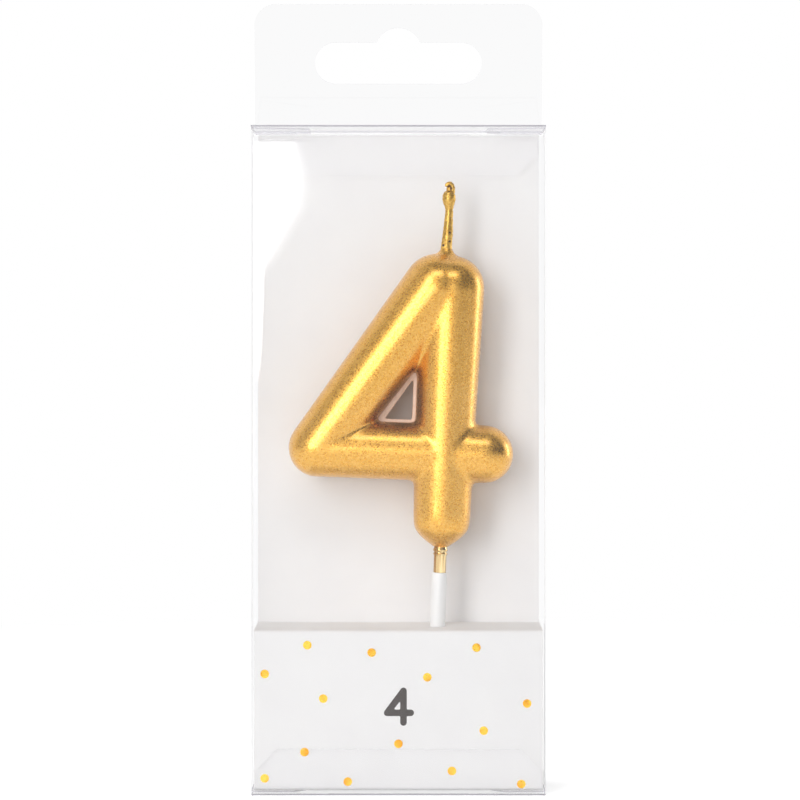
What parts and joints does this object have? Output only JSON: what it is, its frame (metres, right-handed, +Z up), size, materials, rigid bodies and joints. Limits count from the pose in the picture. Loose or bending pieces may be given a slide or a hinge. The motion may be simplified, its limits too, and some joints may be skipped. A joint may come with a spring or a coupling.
{
  "type": "number birthday candle in clear hang box",
  "caption": "Metallic number candle on a slim cake pick, standing through the ledge of a white card insert in a clear folding box with a hang tab.",
  "frame": {"origin": "middle of the box's underside", "axes": "+Z up, +X to the right seen from the front, front of the box faces -Y"},
  "size_m": [0.055, 0.02, 0.149],
  "materials": {
    "clear_sheet": "clear glossy film",
    "white_card": "smooth coated card",
    "gold_foil": "bright hot-stamped foil",
    "white_plastic": "moulded, satin",
    "gold_lacquer": "fine-grained metallic lacquer over wax",
    "gold_plastic": "glossy gold lacquer",
    "gold_wick": "braided cotton stiffened with gold lacquer"
  },
  "bodies": {
    "carton": {"front_panel": "clear_sheet", "back_panel": "clear_sheet", "left_panel": "clear_sheet", "right_panel": "clear_sheet", "glue_flap": "clear_sheet", "hang_tab": "clear_sheet", "card_back": "white_card", "card_base": "white_card", "card_front": "white_card", "card_ledge": "white_card", "card_lip": "white_card", "foil_dots": "gold_foil"},
    "lid": {"lid_flap": "clear_sheet"},
    "lid_tongue": {"lid_tuck_tongue": "clear_sheet"},
    "lid_dust_left": {"lid_dust_flap_left": "clear_sheet"},
    "lid_dust_right": {"lid_dust_flap_right": "clear_sheet"},
    "base": {"base_flap": "clear_sheet"},
    "base_tongue": {"base_tuck_tongue": "clear_sheet"},
    "base_dust_left": {"base_dust_flap_left": "clear_sheet"},
    "base_dust_right": {"base_dust_flap_right": "clear_sheet"},
    "pick": {"cake_pick": "white_plastic"},
    "candle": {"number_four": "gold_lacquer", "mounting_post": "gold_plastic", "wick": "gold_wick"}
  },
  "joints": [
    {"name": "lid_hinge", "type": "hinge", "parent": "carton", "child": "lid", "pos_m": [0, -0.01, 0.125], "axis": [1, 0, 0], "range_deg": [0, 110]},
    {"name": "lid_tongue_fold", "type": "hinge", "parent": "lid", "child": "lid_tongue", "pos_m": [0, 0.00815, 0.12467], "axis": [1, 0, 0], "range_deg": [-61, 0]},
    {"name": "lid_dust_fold_left", "type": "hinge", "parent": "carton", "child": "lid_dust_left", "pos_m": [-0.0275, 0, 0.12465], "axis": [0, -1, 0], "range_deg": [0, 28]},
    {"name": "lid_dust_fold_right", "type": "hinge", "parent": "carton", "child": "lid_dust_right", "pos_m": [0.0275, 0, 0.12465], "axis": [0, 1, 0], "range_deg": [0, 28]},
    {"name": "base_hinge", "type": "hinge", "parent": "carton", "child": "base", "pos_m": [0, 0.01, 0], "axis": [1, 0, 0], "range_deg": [0, 110]},
    {"name": "base_tongue_fold", "type": "hinge", "parent": "base", "child": "base_tongue", "pos_m": [0, -0.0089, 0.00032], "axis": [1, 0, 0], "range_deg": [-61, 0]},
    {"name": "base_dust_fold_left", "type": "hinge", "parent": "carton", "child": "base_dust_left", "pos_m": [-0.0275, 0, 0.00035], "axis": [0, 1, 0], "range_deg": [0, 28]},
    {"name": "base_dust_fold_right", "type": "hinge", "parent": "carton", "child": "base_dust_right", "pos_m": [0.0275, 0, 0.00035], "axis": [0, -1, 0], "range_deg": [0, 28]},
    {"name": "pick_lift", "type": "slide", "parent": "carton", "child": "pick", "axis": [0.0393, 0, 0.9992], "range_m": [0, 0.029]},
    {"name": "candle_pull", "type": "slide", "parent": "pick", "child": "candle", "axis": [0.0393, 0, 0.9992], "range_m": [0, 0.0075]}
  ],
  "couplings": [
    {"joint": "lid_tongue_fold", "follows": "pick_lift", "rad_per_m": -36.41},
    {"joint": "lid_dust_fold_left", "follows": "pick_lift", "rad_per_m": 16.55},
    {"joint": "lid_dust_fold_right", "follows": "pick_lift", "rad_per_m": 16.55},
    {"joint": "lid_hinge", "follows": "pick_lift", "rad_per_m": 66.2},
    {"joint": "base_tongue_fold", "follows": "base_hinge", "ratio": -0.55},
    {"joint": "base_dust_fold_left", "follows": "base_hinge", "ratio": 0.25},
    {"joint": "base_dust_fold_right", "follows": "base_hinge", "ratio": 0.25}
  ]
}
